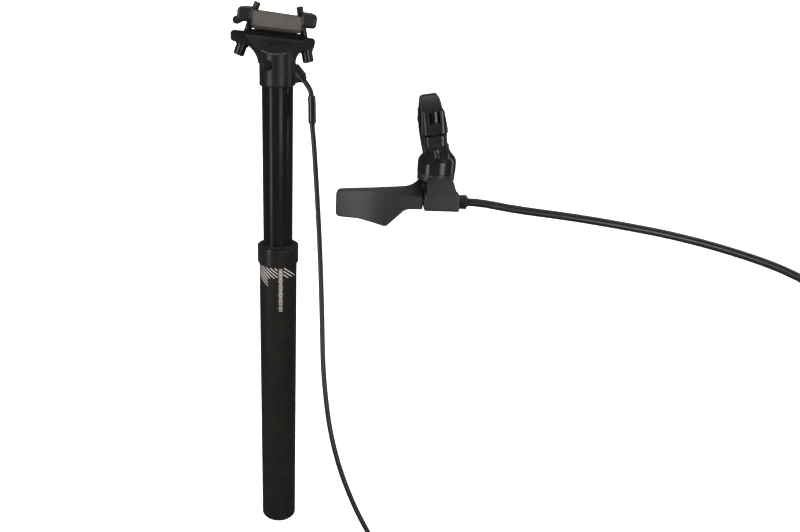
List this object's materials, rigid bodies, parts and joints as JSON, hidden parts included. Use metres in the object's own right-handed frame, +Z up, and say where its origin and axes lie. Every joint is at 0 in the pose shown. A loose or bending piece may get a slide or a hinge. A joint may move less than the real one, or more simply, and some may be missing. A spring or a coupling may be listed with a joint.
{
  "type": "dropper seatpost",
  "caption": "Height-adjustable seatpost: an inner tube slides in an outer tube under a bolted saddle clamp, released by a thumb lever on the handlebar through a cable.",
  "frame": {"origin": "centre of the outer tube's lower end, on the post's axis, where the seat tube's clamp length ends", "axes": "+Z up the post's axis to the saddle, +X to the front of the bicycle, +Y to its left side"},
  "size_m": [0.3759, 0.2685, 0.4642],
  "materials": {
    "outer_tube_finish": "matte black hard anodised, with a pale printed band under the collar",
    "inner_tube_finish": "glossy black anodised",
    "collar_finish": "semi-gloss black anodised",
    "head_finish": "satin black forging",
    "clamp_finish": "satin black forging",
    "bolt_steel": "black oxide steel",
    "barrel_nut_finish": "dark plated steel",
    "seal_rubber": "matte black rubber",
    "foam": "grey oiled foam",
    "bushing_polymer": "off-white bearing polymer",
    "brass_keys": "drawn brass",
    "chromed_rod": "hard chromed",
    "cartridge_finish": "plain anodised",
    "lever_finish": "satin black, bead blasted",
    "remote_finish": "glossy black anodised",
    "housing_jacket": "black cable housing jacket",
    "sleeve_plastic": "glossy black sleeve",
    "inner_wire": "bright stranded steel wire"
  },
  "bodies": {
    "lower_post": {"outer_tube": "outer_tube_finish", "seal_collar": "collar_finish", "wiper_seal": "seal_rubber", "foam_ring": "foam", "upper_bushing": "bushing_polymer", "bottom_cap": "collar_finish", "rod_washer": "bolt_steel", "rod_bolt": "bolt_steel", "bottom_bumper": "seal_rubber", "piston_rod": "chromed_rod", "gas_piston": "cartridge_finish", "piston_ring": "seal_rubber", "remote_perch": "remote_finish", "remote_clamp_cap": "remote_finish", "clamp_hinge_pin": "bolt_steel", "remote_clamp_bolt": "bolt_steel", "remote_base": "lever_finish", "lever_pivot_bolt": "bolt_steel", "remote_ferrule": "collar_finish", "housing_free": "housing_jacket"},
    "upper_post": {"inner_tube": "inner_tube_finish", "lower_bushing": "bushing_polymer", "guide_keys": "brass_keys", "cartridge_tube": "cartridge_finish", "cartridge_gland": "cartridge_finish", "valve_head": "cartridge_finish", "cartridge_spacer": "cartridge_finish", "snap_ring": "bolt_steel", "post_head": "head_finish", "head_ferrule": "collar_finish", "actuator_screw": "bolt_steel", "rear_clamp_bolt": "bolt_steel", "front_clamp_bolt": "bolt_steel", "tilt_washers": "bolt_steel", "housing_at_head": "housing_jacket", "cable_sleeve": "sleeve_plastic"},
    "actuator_arm": {"actuator": "bolt_steel", "wire_nipple": "inner_wire", "head_wire": "inner_wire"},
    "valve_pin": {"release_pin": "chromed_rod"},
    "saddle_clamp": {"rail_cradle": "clamp_finish", "upper_clamp": "clamp_finish"},
    "rear_nut": {"rear_barrel_nut": "barrel_nut_finish"},
    "front_nut": {"front_barrel_nut": "barrel_nut_finish"},
    "thumb_lever": {"remote_lever": "lever_finish", "lever_bushes": "bushing_polymer", "wire_clamp_screw": "bolt_steel", "remote_wire": "inner_wire"},
    "cable_adjuster": {"barrel_adjuster": "collar_finish"}
  },
  "joints": [
    {"name": "post_travel", "type": "slide", "parent": "lower_post", "child": "upper_post", "axis": [0, 0, 1], "range_m": [-0.125, 0], "stiffness_N_per_m": 150, "springref_m": 0.4, "deforming": ["housing_at_head", "cable_sleeve"]},
    {"name": "saddle_tilt", "type": "hinge", "parent": "upper_post", "child": "saddle_clamp", "pos_m": [0, 0, 0.4521], "axis": [0, 1, 0], "range_deg": [-6, 6]},
    {"name": "rear_nut_climb", "type": "slide", "parent": "upper_post", "child": "rear_nut", "axis": [0.3762, 0, 0.9265], "range_m": [-0.00192, 0.00192]},
    {"name": "front_nut_climb", "type": "slide", "parent": "upper_post", "child": "front_nut", "axis": [-0.1754, 0, 0.9845], "range_m": [-0.00192, 0.00192]},
    {"name": "lever_swing", "type": "hinge", "parent": "lower_post", "child": "thumb_lever", "pos_m": [0.081, -0.205, 0.386], "axis": [0, 0, -1], "range_deg": [0, 18], "stiffness_Nm_per_rad": 0.2, "springref_deg": -28.65, "deforming": ["remote_wire"]},
    {"name": "actuator_turn", "type": "hinge", "parent": "upper_post", "child": "actuator_arm", "pos_m": [-0.007, 0, 0.4193], "axis": [0, 1, 0], "range_deg": [0, 14.4], "deforming": ["head_wire"]},
    {"name": "valve_pin_press", "type": "slide", "parent": "upper_post", "child": "valve_pin", "axis": [0, 0, -1], "range_m": [0, 0.002]},
    {"name": "adjuster_turn", "type": "hinge", "parent": "lower_post", "child": "cable_adjuster", "pos_m": [0.08224, -0.21621, 0.3727], "axis": [0.9936, -0.1132, 0], "continuous": true}
  ],
  "couplings": [
    {"joint": "rear_nut_climb", "follows": "saddle_tilt", "m_per_rad": 0.01759},
    {"joint": "front_nut_climb", "follows": "saddle_tilt", "m_per_rad": -0.01759},
    {"joint": "actuator_turn", "follows": "lever_swing", "ratio": 0.78571},
    {"joint": "valve_pin_press", "follows": "lever_swing", "m_per_rad": 0.0061}
  ]
}
